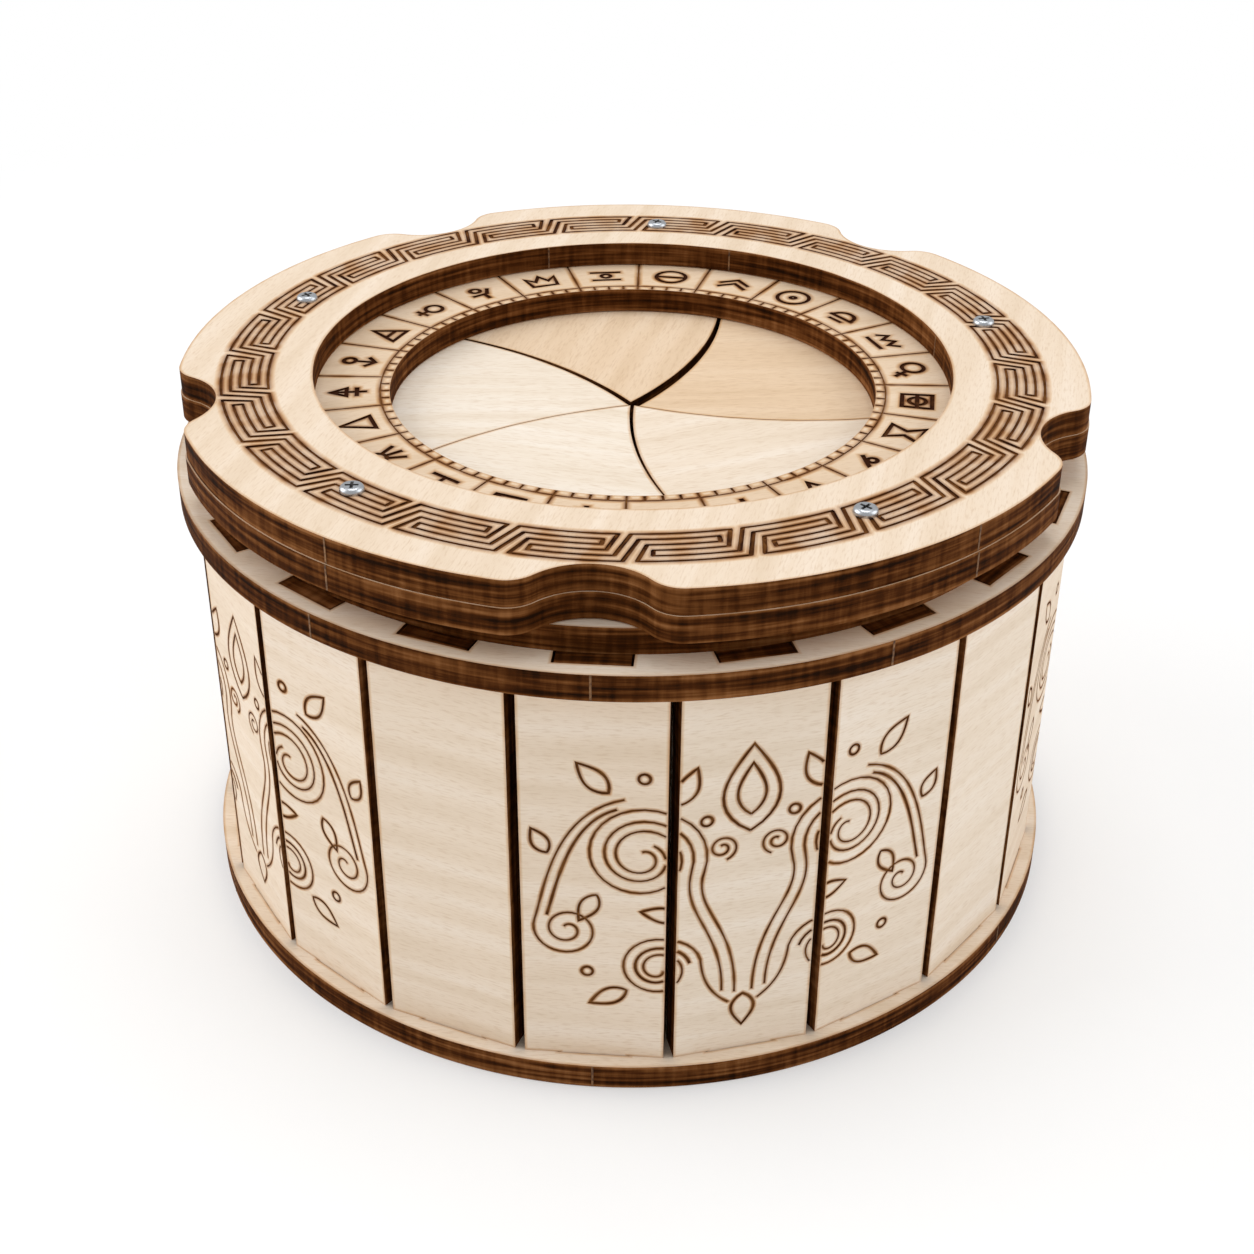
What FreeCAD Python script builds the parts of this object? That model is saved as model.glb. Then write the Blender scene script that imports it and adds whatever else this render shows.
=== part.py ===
import FreeCAD, Part
import os
import Sketcher

document = FreeCAD.newDocument("puzzle_box")

# Driving dimensions in millimetres and degrees
dims = document.addObject("Spreadsheet::Sheet", "dims")
DRIVING = {
    "ply": 4.0,
    "running_gap": 0.2,
    "base_radius": 71.0,
    "stave_count": 20,
    "stave_height": 64.0,
    "stave_inset": 2.5,
    "stave_play": 0.23,
    "tenon_share": 0.49,
    "mortise_slack": 0.35,
    "tenon_slack": 0.05,
    "spacer_inset": 5.0,
    "lid_inset": 1.0,
    "notch_radius": 10.0,
    "notch_offset": 4.0,
    "shoulder_radius": 5.0,
    "blade_count": 5,
    "pivot_inset": 12.3,
    "first_pivot": 18.0,
    "eye_margin": 3.7,
    "blade_seam": 0.5,
    "blade_play": 0.5,
    "lid_travel": 30.0,
    "mouth_share": 0.6474,
    "dial_face": 11.5,
    "dial_lap": 3.1,
    "dial_play": 0.4,
    "flange_setback": 6.0,
    "pin_share": 0.358,
    "pin_turn": 130.0,
    "pin_radius": 1.2,
    "screw_radius": 1.0,
    "pivot_slack": 0.06,
    "slot_slack": 0.3,
    "head_radius": 1.8,
    "head_height": 1.2,
    "recess_depth": 0.7,
    "recess_width": 0.5,
    "keeper_margin": 4.0,
    "nut_corner": 2.3,
    "nut_height": 1.6,
    "thread_end": 0.8,
}
for row, (alias, value) in enumerate(DRIVING.items(), start=1):
    dims.set("A%d" % row, alias)
    dims.set("B%d" % row, str(value))
    dims.setAlias("B%d" % row, alias)
document.recompute()

# Levels of the stacked layers, from the underside of the base upwards
FLANGE_BOTTOM = "(dims.ply + dims.stave_height)"
FLANGE_TOP = "(2 * dims.ply + dims.stave_height)"
LID_BOTTOM = "(3 * dims.ply + dims.stave_height + dims.running_gap)"
LID_JOINT = "(4 * dims.ply + dims.stave_height + dims.running_gap)"
LID_TOP = "(5 * dims.ply + dims.stave_height + dims.running_gap)"
BLADE_THICKNESS = "(dims.ply - 2 * dims.running_gap)"
BLADE_BOTTOM = "(2 * dims.ply + dims.stave_height + dims.running_gap)"
DIAL_BOTTOM = "(3 * dims.ply + dims.stave_height)"
KEEPER_BOTTOM = "(dims.stave_height - dims.running_gap)"

# Radii of the rings and the blades, each set in from the base or out from its neighbour
STAVE_FACE = "(dims.base_radius - dims.stave_inset)"
STAVE_BACK = "(dims.base_radius - dims.stave_inset - dims.ply)"
STAVE_WIDTH = "(2 * %s * tan(180 / dims.stave_count) - dims.stave_play)" % STAVE_BACK
TENON_WIDTH = "(dims.tenon_share * %s)" % STAVE_WIDTH
LID_RADIUS = "(dims.base_radius - dims.lid_inset)"
PIVOT_RADIUS = "(dims.base_radius - dims.pivot_inset)"
BLADE_LIMIT = "(%s + dims.eye_margin)" % PIVOT_RADIUS
SPACER_OUTER = "(dims.base_radius - dims.spacer_inset)"
SPACER_INNER = "(%s + dims.blade_play)" % BLADE_LIMIT
DIAL_HOLE = "(dims.mouth_share * %s)" % PIVOT_RADIUS
LID_HOLE = "(%s + dims.dial_face)" % DIAL_HOLE
DIAL_OUTER = "(%s + dims.dial_lap)" % LID_HOLE
RECESS_RADIUS = "(%s + dims.dial_play)" % DIAL_OUTER
FLANGE_HOLE = "(%s + dims.flange_setback)" % DIAL_HOLE
PIN_REACH = "(dims.pin_share * %s)" % PIVOT_RADIUS
SEAM_RADIUS = "(2 * %s * sin(180 / dims.blade_count))" % PIVOT_RADIUS
SCREW_HOLE = "(dims.screw_radius + dims.pivot_slack)"

finished = []


def finish(node, label):
    node.Label = label
    finished.append(node)


def place(node, out, across, up, angle):
    # Sets a piece at a distance out from the axis and across to the left, turned by an angle
    node.setExpression("Placement.Base.x", "(%s) * cos(%s) - (%s) * sin(%s)" % (out, angle, across, angle))
    node.setExpression("Placement.Base.y", "(%s) * sin(%s) + (%s) * cos(%s)" % (out, angle, across, angle))
    node.setExpression("Placement.Base.z", up)
    node.setExpression("Placement.Rotation.Angle", angle)


def cylinder(name, radius, height, up, out="0", angle="0"):
    node = document.addObject("Part::Cylinder", name)
    node.setExpression("Radius", radius)
    node.setExpression("Height", height)
    place(node, out, "0", up, angle)
    return node


def box(name, length, width, height, out, across, up, angle):
    node = document.addObject("Part::Box", name)
    node.setExpression("Length", length)
    node.setExpression("Width", width)
    node.setExpression("Height", height)
    place(node, out, across, up, angle)
    return node


def joined(name, pieces):
    node = document.addObject("Part::MultiFuse", name)
    node.Shapes = pieces
    return node


def cut(name, base, tools):
    node = document.addObject("Part::Cut", name)
    node.Base = base
    node.Tool = joined(name + "_tools", tools) if len(tools) > 1 else tools[0]
    return node


def pivot_angle(number):
    return "(dims.first_pivot + %d * 360 / dims.blade_count)" % number


def stave_angle(number):
    return "(dims.first_pivot + %d * 360 / dims.stave_count)" % number


# Mortises of one disc: one rectangular hole for each stave tenon
def mortises(prefix, up):
    holes = []
    for number in range(int(dims.stave_count)):
        holes.append(box(
            "%s_mortise_%02d" % (prefix, number + 1),
            "dims.ply + 2 * dims.tenon_slack",
            "%s + 2 * dims.mortise_slack" % TENON_WIDTH,
            "dims.ply",
            "%s - dims.tenon_slack" % STAVE_BACK,
            "-%s / 2 - dims.mortise_slack" % TENON_WIDTH,
            up,
            stave_angle(number),
        ))
    return holes


# Base disc
base_blank = cylinder("base_blank", "dims.base_radius", "dims.ply", "0")
finish(cut("base_disc", base_blank, mortises("base", "0")), "base_disc")

# Staves: a flat panel with a narrower tenon at each end
for number in range(int(dims.stave_count)):
    stem = "stave_%02d" % (number + 1)
    panel = box(
        stem + "_panel", "dims.ply", STAVE_WIDTH, "dims.stave_height",
        STAVE_BACK, "-%s / 2" % STAVE_WIDTH, "dims.ply", stave_angle(number),
    )
    tenons = box(
        stem + "_tenons", "dims.ply", TENON_WIDTH,
        "dims.stave_height + 2 * dims.ply - 2 * dims.tenon_slack",
        STAVE_BACK, "-%s / 2" % TENON_WIDTH, "dims.tenon_slack", stave_angle(number),
    )
    finish(joined(stem, [panel, tenons]), stem)


# Arc slot in the flange: its middle line is the path of a lid screw, moved to the given centre
def arc_slot(prefix, half_width, out, angle, start):
    sector = document.addObject("Part::Cylinder", prefix + "_sector")
    sector.setExpression("Radius", "%s + %s" % (PIVOT_RADIUS, half_width))
    sector.setExpression("Height", "dims.ply")
    sector.setExpression("Angle", "dims.lid_travel")
    sector.setExpression("Placement.Base.x", "(%s) * cos(%s)" % (out, angle))
    sector.setExpression("Placement.Base.y", "(%s) * sin(%s)" % (out, angle))
    sector.setExpression("Placement.Base.z", FLANGE_BOTTOM)
    sector.setExpression("Placement.Rotation.Angle", start)
    core = cylinder(
        prefix + "_core", "%s - %s" % (PIVOT_RADIUS, half_width), "dims.ply", FLANGE_BOTTOM, out, angle,
    )
    pieces = [cut(prefix + "_band", sector, [core])]
    for end, turn in enumerate((start, "(%s + dims.lid_travel)" % start)):
        cap = cylinder("%s_end_%d" % (prefix, end + 1), half_width, "dims.ply", FLANGE_BOTTOM)
        for side, wave in (("x", "cos"), ("y", "sin")):
            cap.setExpression(
                "Placement.Base." + side,
                "(%s) * %s(%s) + %s * %s(%s)" % (out, wave, angle, PIVOT_RADIUS, wave, turn),
            )
        pieces.append(cap)
    return joined(prefix, pieces)


# Flange ring: stave mortises, one screw slot and one drive pin slot for each blade
flange_blank = cylinder("flange_blank", "dims.base_radius", "dims.ply", FLANGE_BOTTOM)
flange_tools = mortises("flange", FLANGE_BOTTOM)
flange_tools.append(cylinder("flange_opening", FLANGE_HOLE, "dims.ply", FLANGE_BOTTOM))
for number in range(int(dims.blade_count)):
    pivot = pivot_angle(number)
    flange_tools.append(arc_slot(
        "screw_slot_%d" % (number + 1), "(dims.screw_radius + dims.slot_slack)", "0", "0", pivot,
    ))
    flange_tools.append(arc_slot(
        "pin_slot_%d" % (number + 1), "(dims.pin_radius + dims.slot_slack)",
        PIN_REACH, "(%s + dims.pin_turn)" % pivot, pivot,
    ))
finish(cut("flange_ring", flange_blank, flange_tools), "flange_ring")

# Spacer ring round the blades, resting on the flange
spacer_blank = cylinder("spacer_blank", SPACER_OUTER, "dims.ply", FLANGE_TOP)
spacer_opening = cylinder("spacer_opening", SPACER_INNER, "dims.ply", FLANGE_TOP)
finish(cut("spacer_ring", spacer_blank, [spacer_opening]), "spacer_ring")


# Lid rings: two plywood rings of one outline with finger notches and screw holes
def body_sketch(body, name):
    sketch = body.newObject("Sketcher::SketchObject", name)
    plane = [feature for feature in body.Origin.OriginFeatures if feature.Role == "XY_Plane"][0]
    sketch.AttachmentSupport = [(plane, "")]
    sketch.MapMode = "FlatFace"
    return sketch


def sketch_circle(sketch, radius, across=None, along=None):
    start = float(dims.ply)
    origin = FreeCAD.Vector(start, start, 0) if across else FreeCAD.Vector(0, 0, 0)
    circle = sketch.addGeometry(Part.Circle(origin, FreeCAD.Vector(0, 0, 1), start), False)
    bound = [(sketch.addConstraint(Sketcher.Constraint("Radius", circle, start)), radius)]
    if across is None:
        sketch.addConstraint(Sketcher.Constraint("Coincident", circle, 3, -1, 1))
    else:
        for kind, expression in (("DistanceX", across), ("DistanceY", along)):
            distance = Sketcher.Constraint(kind, -1, 1, circle, 3, start)
            bound.append((sketch.addConstraint(distance), expression))
    for constraint, expression in bound:
        sketch.setExpression("Constraints[%d]" % constraint, expression)


def repeated_pocket(body, name, radius, out, angle):
    sketch = body_sketch(body, name + "_sketch")
    sketch_circle(sketch, radius, "(%s) * cos(%s)" % (out, angle), "(%s) * sin(%s)" % (out, angle))
    pocket = body.newObject("PartDesign::Pocket", name)
    pocket.Profile = sketch
    pocket.Type = "ThroughAll"
    pocket.Reversed = True
    pattern = body.newObject("PartDesign::PolarPattern", name + "_pattern")
    pattern.Originals = [pocket]
    pattern.Axis = (sketch, ["N_Axis"])
    pattern.Angle = 360
    pattern.setExpression("Occurrences", "dims.blade_count")
    body.Tip = pattern
    document.recompute()
    return pattern


def notch_corners(shape, rim):
    # The upright edges where a finger notch meets the rim
    corners = []
    for number, edge in enumerate(shape.Edges, start=1):
        ends = [vertex.Point for vertex in edge.Vertexes]
        if len(ends) != 2 or abs(ends[0].z - ends[1].z) < float(dims.ply) / 2:
            continue
        if abs((ends[0].x ** 2 + ends[0].y ** 2) ** 0.5 - rim) < 0.01:
            if abs(ends[0].x - ends[1].x) + abs(ends[0].y - ends[1].y) < 0.01:
                corners.append("Edge%d" % number)
    return corners


def notched_ring(label, hole, up):
    body = document.addObject("PartDesign::Body", label)
    outline = body_sketch(body, label + "_outline")
    sketch_circle(outline, LID_RADIUS)
    disc = body.newObject("PartDesign::Pad", label + "_disc")
    disc.Profile = outline
    disc.setExpression("Length", "dims.ply")
    document.recompute()
    notches = repeated_pocket(
        body, label + "_notch", "dims.notch_radius", "%s + dims.notch_offset" % LID_RADIUS,
        "(dims.first_pivot + 180 / dims.blade_count)",
    )
    shoulders = body.newObject("PartDesign::Fillet", label + "_shoulders")
    shoulders.Base = (notches, notch_corners(notches.Shape, disc.Shape.BoundBox.XMax))
    shoulders.setExpression("Radius", "dims.shoulder_radius")
    body.Tip = shoulders
    document.recompute()
    repeated_pocket(body, label + "_screw_hole", SCREW_HOLE, PIVOT_RADIUS, "dims.first_pivot")
    opening = body_sketch(body, label + "_opening_sketch")
    sketch_circle(opening, hole)
    opening_pocket = body.newObject("PartDesign::Pocket", label + "_opening")
    opening_pocket.Profile = opening
    opening_pocket.Type = "ThroughAll"
    opening_pocket.Reversed = True
    body.Tip = opening_pocket
    body.setExpression("Placement.Base.z", up)
    finish(body, label)


notched_ring("lid_lower_ring", RECESS_RADIUS, LID_BOTTOM)
notched_ring("lid_top_ring", LID_HOLE, LID_JOINT)

# Dial ring, loose in the recess of the lower lid ring
dial_blank = cylinder("dial_blank", DIAL_OUTER, "dims.ply", DIAL_BOTTOM)
dial_opening = cylinder("dial_opening", DIAL_HOLE, "dims.ply", DIAL_BOTTOM)
finish(cut("dial_ring", dial_blank, [dial_opening]), "dial_ring")

# Keeper ring under the flange, held by the screws
KEEPER_INNER = "(%s - dims.keeper_margin)" % PIVOT_RADIUS
KEEPER_OUTER = "(%s + dims.keeper_margin)" % PIVOT_RADIUS
keeper_tools = [cylinder("keeper_opening", KEEPER_INNER, "dims.ply", KEEPER_BOTTOM)]
for number in range(int(dims.blade_count)):
    keeper_tools.append(cylinder(
        "keeper_hole_%d" % (number + 1), SCREW_HOLE, "dims.ply", KEEPER_BOTTOM,
        PIVOT_RADIUS, pivot_angle(number),
    ))
keeper_blank = cylinder("keeper_blank", KEEPER_OUTER, "dims.ply", KEEPER_BOTTOM)
finish(cut("keeper_ring", keeper_blank, keeper_tools), "keeper_ring")

# Pivot screws: a shank from the top ring to below the nut, and a head with a cross recess
screws = []
for number in range(int(dims.blade_count)):
    stem = "screw_%d" % (number + 1)
    angle = pivot_angle(number)
    shank_foot = "(%s - dims.nut_height - dims.thread_end)" % KEEPER_BOTTOM
    shank = cylinder(
        stem + "_shank", "dims.screw_radius", "%s - %s" % (LID_TOP, shank_foot), shank_foot,
        PIVOT_RADIUS, angle,
    )
    head = cylinder(stem + "_head", "dims.head_radius", "dims.head_height", LID_TOP, PIVOT_RADIUS, angle)
    recess_floor = "%s + dims.head_height - dims.recess_depth" % LID_TOP
    recess_along = box(
        stem + "_recess_along", "dims.head_radius", "dims.recess_width", "dims.recess_depth",
        "%s - dims.head_radius / 2" % PIVOT_RADIUS, "-dims.recess_width / 2", recess_floor, angle,
    )
    recess_across = box(
        stem + "_recess_across", "dims.recess_width", "dims.head_radius", "dims.recess_depth",
        "%s - dims.recess_width / 2" % PIVOT_RADIUS, "-dims.head_radius / 2", recess_floor, angle,
    )
    screws.append(cut(stem, joined(stem + "_solid", [shank, head]), [recess_along, recess_across]))
screw_group = document.addObject("Part::Compound", "pivot_screws")
screw_group.Links = screws
finish(screw_group, "pivot_screws")

# Hexagon nuts under the keeper ring
nuts = []
for number in range(int(dims.blade_count)):
    stem = "nut_%d" % (number + 1)
    angle = pivot_angle(number)
    nut_bottom = "%s - dims.nut_height" % KEEPER_BOTTOM
    prism = document.addObject("Part::Prism", stem + "_prism")
    prism.Polygon = 6
    prism.setExpression("Circumradius", "dims.nut_corner")
    prism.setExpression("Height", "dims.nut_height")
    place(prism, PIVOT_RADIUS, "0", nut_bottom, angle)
    bore = cylinder(stem + "_bore", SCREW_HOLE, "dims.nut_height", nut_bottom, PIVOT_RADIUS, angle)
    nuts.append(cut(stem, prism, [bore]))
nut_group = document.addObject("Part::Compound", "pivot_nuts")
nut_group.Links = nuts
finish(nut_group, "pivot_nuts")


# Iris blades: each edge is an arc along which the tip of the next blade slides
def blade_disc(name, radius, first_angle, second_angle):
    # An upright disc centred on the difference of two pivot positions
    node = document.addObject("Part::Cylinder", name)
    node.setExpression("Radius", radius)
    node.setExpression("Height", BLADE_THICKNESS)
    for side, wave in (("x", "cos"), ("y", "sin")):
        node.setExpression(
            "Placement.Base." + side,
            "%s * (%s(%s) - %s(%s))" % (PIVOT_RADIUS, wave, first_angle, wave, second_angle),
        )
    node.setExpression("Placement.Base.z", BLADE_BOTTOM)
    return node


for number in range(int(dims.blade_count)):
    stem = "iris_blade_%d" % (number + 1)
    pivot = pivot_angle(number)
    step = "360 / dims.blade_count"
    leading = blade_disc(
        stem + "_leading", "%s - dims.blade_seam / 2" % SEAM_RADIUS, pivot, "(%s - %s)" % (pivot, step),
    )
    trailing = blade_disc(
        stem + "_trailing", "%s + dims.blade_seam / 2" % SEAM_RADIUS, "(%s + %s)" % (pivot, step), pivot,
    )
    shut_limit = blade_disc(stem + "_shut_limit", BLADE_LIMIT, pivot, pivot)
    open_limit = blade_disc(
        stem + "_open_limit", BLADE_LIMIT, pivot, "(%s + dims.lid_travel)" % pivot,
    )
    blank = document.addObject("Part::MultiCommon", stem + "_blank")
    blank.Shapes = [leading, shut_limit, open_limit]
    eye = cylinder(stem + "_eye", SCREW_HOLE, BLADE_THICKNESS, BLADE_BOTTOM, PIVOT_RADIUS, pivot)
    pin_place = {
        side: "{1} * {0}({2}) + {3} * {0}({2} + dims.pin_turn)".format(wave, PIVOT_RADIUS, pivot, PIN_REACH)
        for side, wave in (("x", "cos"), ("y", "sin"))
    }
    pin_hole = cylinder(stem + "_pin_hole", "dims.pin_radius", BLADE_THICKNESS, BLADE_BOTTOM)
    finish(cut(stem, blank, [trailing, eye, pin_hole]), stem)
    pin = cylinder(
        "drive_pin_%d" % (number + 1), "dims.pin_radius",
        "%s + dims.ply" % BLADE_THICKNESS, "%s + dims.running_gap" % FLANGE_BOTTOM,
    )
    for node in (pin_hole, pin):
        for side, expression in pin_place.items():
            node.setExpression("Placement.Base." + side, expression)
    finish(pin, "drive_pin_%d" % (number + 1))

document.recompute()

# Every object must be sound before the pieces are written
for node in document.Objects:
    if "Invalid" in node.State or "Error" in node.State:
        raise RuntimeError("%s is in state %s" % (node.Label, node.State))
os.makedirs("parts", exist_ok=True)
for node in finished:
    if node.Shape.isNull() or not node.Shape.isValid():
        raise RuntimeError("%s has no sound shape" % node.Label)
    node.Shape.exportStep("parts/%s.step" % node.Label)
    print(node.Label, len(node.Shape.Solids), round(node.Shape.Volume, 1))
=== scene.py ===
import math
import random

import bmesh
import bpy
from mathutils import Matrix, Vector
from mathutils.geometry import delaunay_2d_cdt, interpolate_bezier
from mathutils.kdtree import KDTree


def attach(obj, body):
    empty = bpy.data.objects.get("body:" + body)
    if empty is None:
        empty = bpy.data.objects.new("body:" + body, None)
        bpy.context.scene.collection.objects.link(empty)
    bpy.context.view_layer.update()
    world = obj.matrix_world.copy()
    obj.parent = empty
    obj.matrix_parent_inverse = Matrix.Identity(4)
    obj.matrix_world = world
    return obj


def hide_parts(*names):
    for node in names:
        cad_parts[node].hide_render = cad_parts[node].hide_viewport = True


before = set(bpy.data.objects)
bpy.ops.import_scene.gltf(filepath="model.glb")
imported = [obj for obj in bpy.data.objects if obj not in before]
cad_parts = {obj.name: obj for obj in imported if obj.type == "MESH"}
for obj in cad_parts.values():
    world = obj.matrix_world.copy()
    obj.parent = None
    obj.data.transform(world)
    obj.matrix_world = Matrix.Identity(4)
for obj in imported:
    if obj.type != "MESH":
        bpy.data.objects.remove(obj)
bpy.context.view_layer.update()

# Base disc
# A round of birch plywood, cut out by laser, so its faces are pale and its edge is charred brown.
# A ring of mortises near the rim takes the lower tenons of the staves.
MM = 0.001
PLY = 4.0
BASE_RADIUS = 71.0
STAVE_COUNT = 20
STAVE_BACK = 64.5
STAVE_PITCH = 2 * math.pi / STAVE_COUNT
FIRST_PIVOT = math.radians(18.0)
TENON_WIDTH = 9.9
MORTISE_WIDTH = 10.6
MORTISE_DEPTH = 4.1
MORTISE_PLAY = 0.05
RIM_STEPS = 300
RIM_BURN, RIM_SCORCH = 0.45, 0.6
MITRE_LIMIT = 0.45
BURN_SAMPLE = 0.12
MERGE_GAP = 1e-5
SHEET_REACH = 400.0
STUB_THICKNESS, STUB_WIDTH, STUB_HEIGHT_SHARE = 0.1, 0.3, 0.96
BASE_STUBS = (28, 118, 208, 270, 330)
VENEER, EDGE, GROOVE, STUB = range(4)
random.seed(7)


def polar(radius, angle, centre=(0.0, 0.0)):
    return (centre[0] + radius * math.cos(angle), centre[1] + radius * math.sin(angle))


def arc(centre, radius, start, end, steps):
    return [polar(radius, start + (end - start) * k / steps, centre) for k in range(steps + 1)]


def ring(radius, steps=240, centre=(0.0, 0.0)):
    return arc(centre, radius, 0.0, 2 * math.pi, steps)[:-1]


def strip(points, width, closed=False):
    # Quads of one width along a line on the sheet, with mitred corners
    count = len(points)
    sides = []
    for k in range(count):
        here = Vector(points[k])
        before = Vector(points[k - 1]) if closed or k else None
        after = Vector(points[(k + 1) % count]) if closed or k < count - 1 else None
        runs = []
        if before:
            runs.append((here - before).normalized())
        if after:
            runs.append((after - here).normalized())
        along = sum(runs, Vector((0.0, 0.0))).normalized()
        across = Vector((-along.y, along.x))
        stretch = max(MITRE_LIMIT, across.dot(Vector((-runs[0].y, runs[0].x))))
        offset = across * (width / 2 / stretch)
        sides.append((here + offset, here - offset))
    last = count if closed else count - 1
    quads = []
    for k in range(last):
        left, right = sides[k]
        far_left, far_right = sides[(k + 1) % count]
        quads.append([left, right, far_right, far_left])
    return quads


def stretched(points, reach):
    # The line with both its ends carried on by the reach given
    first = Vector(points[0]) + (Vector(points[0]) - Vector(points[1])).normalized() * reach
    last = Vector(points[-1]) + (Vector(points[-1]) - Vector(points[-2])).normalized() * reach
    return [first] + list(points[1:-1]) + [last]


def burn_search(lines):
    # Nearest-point search over burnt lines, with half the width of the line kept at each sample
    samples = []
    for points, width, closed in lines:
        ends = points[1:] + points[:1] if closed else points[1:]
        for start, end in zip(points, ends):
            run = Vector(end) - Vector(start)
            steps = max(1, int(run.length / BURN_SAMPLE))
            samples += [(Vector(start) + run * k / steps, width / 2) for k in range(steps + 1)]
    tree = KDTree(len(samples))
    for k, sample in enumerate(samples):
        tree.insert(sample[0].to_3d(), k)
    tree.balance()
    return tree, samples


def cut_sheet(name, outline, holes=(), lines=(), low=0.0, high=PLY, depth=0.0, halo=0.0, place=None,
              stubs=(), grain_turn=0.0, tone=0.5):
    # A plywood piece: outline and holes are cut through, and lines (points, width, closed) are burnt in.
    # Each piece comes from a place of its own on the sheet, in millimetres, so no two have the same grain
    corners = []
    faces = []
    loops = [outline] + list(holes)
    for loop in loops:
        faces.append(list(range(len(corners), len(corners) + len(loop))))
        corners.extend(Vector(point) for point in loop)
    first_groove = len(faces)
    first_halo = first_groove + sum(len(points) - (not closed) for points, _, closed in lines)
    # The groove itself, and two wider strips that carry the scorch beside it
    for spread in (0.0, halo, 2 * halo):
        for points, width, closed in lines:
            run = points if closed else stretched(points, spread / 2)
            for quad in strip(run, width + spread, closed):
                faces.append(list(range(len(corners), len(corners) + 4)))
                corners.extend(quad)
    for loop in loops:
        for quad in strip(loop, 2 * RIM_BURN, True):
            faces.append(list(range(len(corners), len(corners) + 4)))
            corners.extend(quad)
    verts, _, tris, _, _, sources = delaunay_2d_cdt(corners, [], faces, 0, MERGE_GAP, True)
    bm = bmesh.new()
    scorch = bm.verts.layers.float.new("scorch")
    burn_width = bm.verts.layers.float.new("burn_width")
    points = [bm.verts.new((v.x, v.y, high)) for v in verts]
    grooves = []
    for tri, source in zip(tris, sources):
        inside = set(source)
        if 0 not in inside or any(0 < number < first_groove for number in inside):
            continue
        face = bm.faces.new([points[k] for k in tri])
        if any(first_groove <= number < first_halo for number in inside):
            grooves.append(face)
    bmesh.ops.delete(bm, geom=[vert for vert in bm.verts if not vert.link_faces], context="VERTS")
    rim_tree, _ = burn_search([(loop, 0.0, True) for loop in loops])
    line_tree, samples = burn_search(lines)
    for vert in bm.verts:
        spot = (vert.co.x, vert.co.y, 0.0)
        vert[scorch] = max(0.0, RIM_SCORCH - RIM_SCORCH * rim_tree.find(spot)[2] / RIM_BURN)
        if lines:
            _, k, gap = line_tree.find(spot)
            vert[scorch] = max(vert[scorch], min(1.0, 1.0 - (gap - samples[k][1]) / halo))
            vert[burn_width] = 2 * samples[k][1]
    rims = [edge for edge in bm.edges if edge.is_boundary]
    walls = bmesh.ops.extrude_edge_only(bm, edges=rims)["geom"]
    wall_verts = [item for item in walls if isinstance(item, bmesh.types.BMVert)]
    wall_edges = [item for item in walls if isinstance(item, bmesh.types.BMEdge) and item.is_boundary]
    bmesh.ops.translate(bm, vec=(0.0, 0.0, low - high), verts=wall_verts)
    for face in {face for vert in wall_verts for face in vert.link_faces}:
        face.material_index = EDGE
    filled = bmesh.ops.triangle_fill(bm, use_beauty=True, use_dissolve=False, edges=wall_edges)["geom"]
    for face in [item for item in filled if isinstance(item, bmesh.types.BMFace)]:
        face.material_index = VENEER
    if grooves:
        dug = bmesh.ops.extrude_face_region(bm, geom=grooves)["geom"]
        dug_verts = [item for item in dug if isinstance(item, bmesh.types.BMVert)]
        bmesh.ops.translate(bm, vec=(0.0, 0.0, -depth), verts=dug_verts)
        for face in {face for vert in dug_verts for face in vert.link_faces}:
            face.material_index = GROOVE
        bmesh.ops.delete(bm, geom=[face for face in grooves if face.is_valid], context="FACES_ONLY")
    for at, facing in stubs:
        made = bmesh.ops.create_cube(bm, size=1.0)["verts"]
        size = Matrix.Diagonal((STUB_THICKNESS, STUB_WIDTH, (high - low) * STUB_HEIGHT_SHARE, 1.0))
        spot = Matrix.Translation((at[0], at[1], (high + low) / 2))
        bmesh.ops.transform(bm, matrix=spot @ Matrix.Rotation(facing, 4, "Z") @ size, verts=made)
        for face in {face for vert in made for face in vert.link_faces}:
            face.material_index = STUB
    bmesh.ops.recalc_face_normals(bm, faces=bm.faces)
    sheet = bm.verts.layers.float_vector.new("sheet")
    sheet_tone = bm.verts.layers.float.new("tone")
    spun = Matrix.Rotation(-grain_turn, 4, "Z")
    along, across = (random.uniform(-SHEET_REACH, SHEET_REACH) for _ in range(2))
    shift = Vector((along, across, -low))
    for vert in bm.verts:
        vert[sheet] = spun @ vert.co + shift
        vert[sheet_tone] = tone
    bmesh.ops.transform(bm, matrix=Matrix.Scale(MM, 4) @ (place or Matrix.Identity(4)), verts=bm.verts)
    mesh = bpy.data.meshes.new(name)
    bm.to_mesh(mesh)
    bm.free()
    for material in (birch, charred_edge, charred_groove, bridge_stub):
        mesh.materials.append(material)
    piece = bpy.data.objects.new(name, mesh)
    bpy.context.scene.collection.objects.link(piece)
    return piece


def linear(hex_colour):
    channels = [int(hex_colour[k:k + 2], 16) / 255 for k in (1, 3, 5)]
    return tuple(c / 12.92 if c <= 0.04045 else ((c + 0.055) / 1.055) ** 2.4 for c in channels) + (1.0,)


def add_node(owner, kind, links=None, stops=(), **settings):
    # A setting in_X goes to the input with the name or number X, and stops are the colours of a ramp
    node = owner.node_tree.nodes.new(kind)
    for key, value in settings.items():
        if key.startswith("in_"):
            socket = key[3:].replace("_", " ")
            node.inputs[int(socket) if socket.isdigit() else socket].default_value = value
        else:
            setattr(node, key, value)
    for socket, source in (links or {}).items():
        owner.node_tree.links.new(source, node.inputs[socket])
    for k, (position, colour) in enumerate(stops):
        if k > 1:
            node.color_ramp.elements.new(1.0)
        node.color_ramp.elements[k].position = position
        node.color_ramp.elements[k].color = linear(colour)
    return node


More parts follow.
